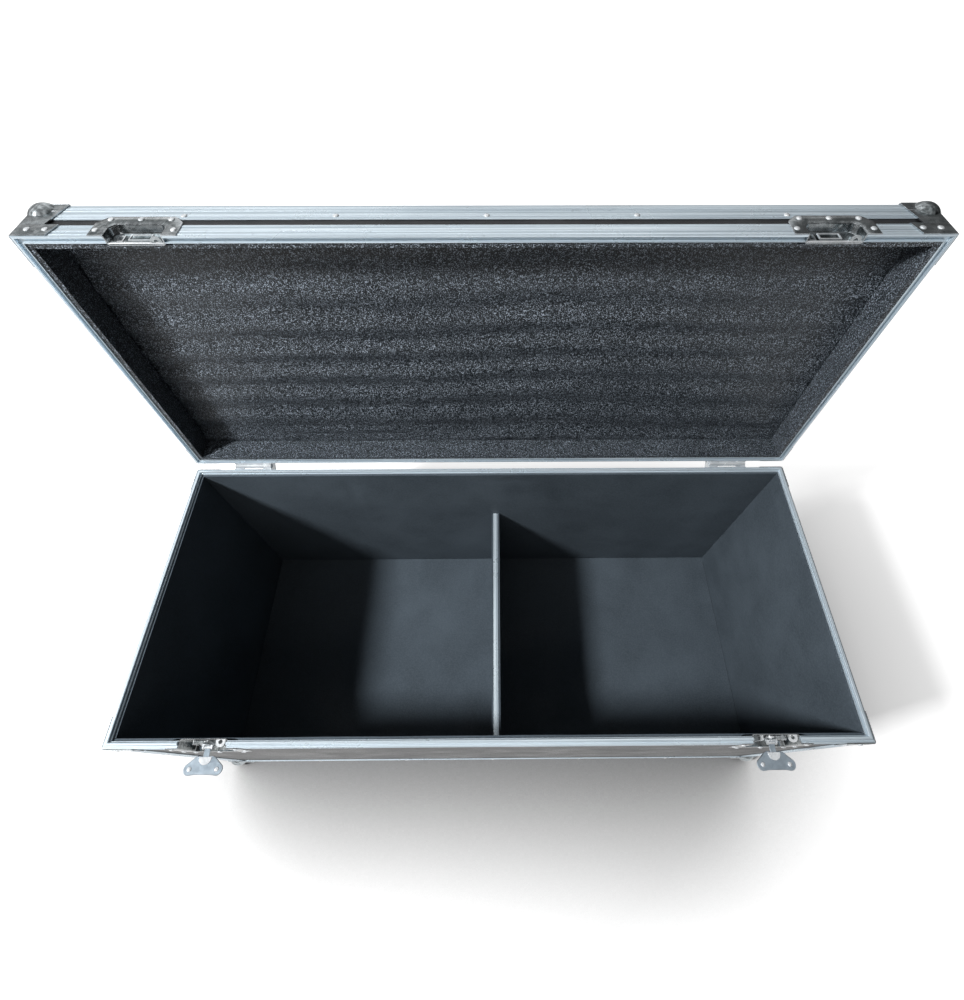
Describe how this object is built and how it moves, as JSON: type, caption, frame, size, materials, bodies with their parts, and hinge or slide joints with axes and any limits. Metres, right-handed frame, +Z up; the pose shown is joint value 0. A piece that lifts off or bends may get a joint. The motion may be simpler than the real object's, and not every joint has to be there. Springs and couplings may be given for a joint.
{
  "type": "lighting flight case",
  "caption": "Wide foam-lined flight case with hinged lid, divided base, double-angle edges, ball corners, butterfly latches and recessed handles.",
  "frame": {"origin": "centre of the bottom board's underside, between the four ball corners", "axes": "+X to the right along the front, +Y to the rear where the hinges are, +Z up"},
  "size_m": [1.218, 0.6542, 1.0101],
  "materials": {
    "black_laminate": "satin laminate on plywood",
    "aluminium_extrusion": "mill, fine long ridges",
    "zinc_plate": "bright zinc plate",
    "bright_steel": "bright",
    "smooth_foam": "smooth closed-cell foam",
    "coarse_foam": "coarse sparkling foam",
    "black_rubber": "matte"
  },
  "bodies": {
    "base": {"base_board_bottom": "black_laminate", "base_board_front": "black_laminate", "base_board_right": "black_laminate", "base_board_back": "black_laminate", "base_board_left": "black_laminate", "base_bottom_frame": "aluminium_extrusion", "base_post_front_left": "aluminium_extrusion", "base_post_front_right": "aluminium_extrusion", "base_post_back_right": "aluminium_extrusion", "base_post_back_left": "aluminium_extrusion", "base_ball_corner_front_left": "zinc_plate", "base_ball_corner_front_right": "zinc_plate", "base_ball_corner_back_right": "zinc_plate", "base_ball_corner_back_left": "zinc_plate", "base_rim_frame": "aluminium_extrusion", "base_rim_middle": "aluminium_extrusion", "lining_front": "smooth_foam", "lining_right": "smooth_foam", "lining_back": "smooth_foam", "lining_left": "smooth_foam", "lining_floor": "smooth_foam", "divider_board": "black_laminate", "divider_cap": "aluminium_extrusion", "divider_foam_left": "smooth_foam", "divider_foam_right": "smooth_foam", "latch_dish_left": "zinc_plate", "latch_dish_right": "zinc_plate", "handle_dish_left": "zinc_plate", "handle_dish_right": "zinc_plate", "hinge_base_leaf_left": "zinc_plate", "hinge_base_leaf_right": "zinc_plate", "hinge_pin_left": "bright_steel", "hinge_pin_right": "bright_steel"},
    "lid": {"lid_board_top": "black_laminate", "lid_board_front_left": "black_laminate", "lid_board_front_right": "black_laminate", "lid_board_right": "black_laminate", "lid_board_back": "black_laminate", "lid_board_left": "black_laminate", "lid_top_frame": "aluminium_extrusion", "lid_rim_frame": "aluminium_extrusion", "lid_rim_middle": "aluminium_extrusion", "lid_foam_top": "coarse_foam", "lid_foam_edge": "coarse_foam", "keeper_dish_left": "zinc_plate", "keeper_dish_right": "zinc_plate", "hinge_lid_leaf_left": "zinc_plate", "hinge_lid_leaf_right": "zinc_plate"},
    "rotor_left": {"latch_rotor_left": "zinc_plate", "wing_pin_left": "bright_steel"},
    "wing_left": {"latch_wing_left": "zinc_plate"},
    "hook_left": {"latch_hook_left": "zinc_plate"},
    "handle_left": {"handle_bail_left": "bright_steel", "handle_sleeve_left": "black_rubber"},
    "rotor_right": {"latch_rotor_right": "zinc_plate", "wing_pin_right": "bright_steel"},
    "wing_right": {"latch_wing_right": "zinc_plate"},
    "hook_right": {"latch_hook_right": "zinc_plate"},
    "handle_right": {"handle_bail_right": "bright_steel", "handle_sleeve_right": "black_rubber"}
  },
  "joints": [
    {"name": "lid_hinge", "type": "hinge", "parent": "base", "child": "lid", "pos_m": [0, 0.2599, 0.48335], "axis": [1, 0, 0], "range_deg": [0, 93.1]},
    {"name": "latch_twist_left", "type": "hinge", "parent": "base", "child": "rotor_left", "pos_m": [-0.447, -0.251, 0.4632], "axis": [0, 1, 0], "range_deg": [0, 180]},
    {"name": "wing_fold_left", "type": "hinge", "parent": "rotor_left", "child": "wing_left", "pos_m": [-0.447, -0.2487, 0.4632], "axis": [-1, 0, 0], "range_deg": [0, 90]},
    {"name": "hook_slide_left", "type": "slide", "parent": "base", "child": "hook_left", "axis": [0, 0.3714, -0.9285], "range_m": [0, 0.0065]},
    {"name": "handle_swing_left", "type": "hinge", "parent": "base", "child": "handle_left", "pos_m": [-0.594, 0, 0.3342], "axis": [0, 1, 0], "range_deg": [0, 90], "stiffness_Nm_per_rad": 0.25, "springref_deg": -20.05},
    {"name": "latch_twist_right", "type": "hinge", "parent": "base", "child": "rotor_right", "pos_m": [0.447, -0.251, 0.4632], "axis": [0, 1, 0], "range_deg": [0, 180]},
    {"name": "wing_fold_right", "type": "hinge", "parent": "rotor_right", "child": "wing_right", "pos_m": [0.447, -0.2487, 0.4632], "axis": [-1, 0, 0], "range_deg": [0, 90]},
    {"name": "hook_slide_right", "type": "slide", "parent": "base", "child": "hook_right", "axis": [0, 0.3714, -0.9285], "range_m": [0, 0.0065]},
    {"name": "handle_swing_right", "type": "hinge", "parent": "base", "child": "handle_right", "pos_m": [0.594, 0, 0.3342], "axis": [0, -1, 0], "range_deg": [0, 90], "stiffness_Nm_per_rad": 0.25, "springref_deg": -20.05}
  ],
  "couplings": [
    {"joint": "hook_slide_left", "follows": "latch_twist_left", "m_per_rad": 0.002057},
    {"joint": "hook_slide_right", "follows": "latch_twist_right", "m_per_rad": 0.002057}
  ]
}
